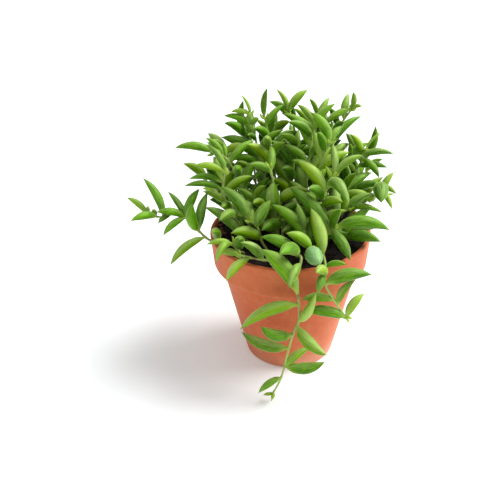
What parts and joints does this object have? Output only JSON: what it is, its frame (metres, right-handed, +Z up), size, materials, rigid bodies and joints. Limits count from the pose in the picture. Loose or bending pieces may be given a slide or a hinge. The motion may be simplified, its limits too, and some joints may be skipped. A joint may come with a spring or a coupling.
{
  "type": "potted string of bananas plant",
  "caption": "Round clay pot with a thick rim band, filled with soil, holding a trailing succulent with plump curved banana-shaped leaves that heap up and spill over the rim",
  "frame": {"origin": "on the pot's axis, at the underside of its foot, which is the plane that it stands on", "axes": "+Z up along the pot's axis; -Y towards the viewer, where the longest shoot hangs down the front of the pot; +X to the viewer's right"},
  "size_m": [0.178, 0.1544, 0.1832],
  "materials": {
    "terracotta": "matte",
    "potting_soil": "matte",
    "leaf": "satin"
  },
  "bodies": {
    "root": {"pot": "terracotta", "soil": "potting_soil", "shoot_front_long": "leaf", "shoot_front_right_long": "leaf", "shoot_front_middle": "leaf", "shoot_rim_runner": "leaf", "shoot_rim_front_left": "leaf", "shoot_front_left": "leaf", "shoot_left_long": "leaf", "shoot_left_low": "leaf", "shoot_left_middle": "leaf", "shoot_left_top": "leaf", "shoot_top_left": "leaf", "shoot_top_middle": "leaf", "shoot_top_right": "leaf", "shoot_right_top": "leaf", "shoot_right_upper": "leaf", "shoot_right_middle": "leaf", "shoot_right_front": "leaf", "shoot_middle_right": "leaf", "shoot_middle": "leaf", "shoot_middle_front": "leaf", "shoot_middle_left": "leaf", "shoot_right_rim": "leaf", "shoot_back_1": "leaf", "shoot_back_2": "leaf", "shoot_back_3": "leaf", "shoot_back_4": "leaf", "shoot_back_5": "leaf", "shoot_back_6": "leaf", "shoot_back_7": "leaf", "shoot_back_high_1": "leaf", "shoot_back_high_2": "leaf", "shoot_back_high_3": "leaf", "shoot_back_high_4": "leaf", "shoot_back_trailing_1": "leaf", "shoot_back_trailing_2": "leaf", "shoot_crown_1": "leaf", "shoot_crown_2": "leaf", "shoot_crown_3": "leaf", "shoot_crown_4": "leaf", "shoot_crown_5": "leaf", "shoot_inner_1": "leaf", "shoot_inner_2": "leaf", "shoot_inner_3": "leaf", "shoot_inner_4": "leaf", "shoot_rear_1": "leaf", "shoot_rear_2": "leaf", "shoot_rear_3": "leaf", "shoot_rear_4": "leaf", "shoot_side_1": "leaf", "shoot_side_2": "leaf", "shoot_side_3": "leaf", "shoot_side_4": "leaf", "shoot_side_5": "leaf", "shoot_side_6": "leaf", "shoot_thicket_1": "leaf", "shoot_thicket_2": "leaf", "shoot_thicket_3": "leaf", "shoot_thicket_4": "leaf"}
  },
  "joints": []
}
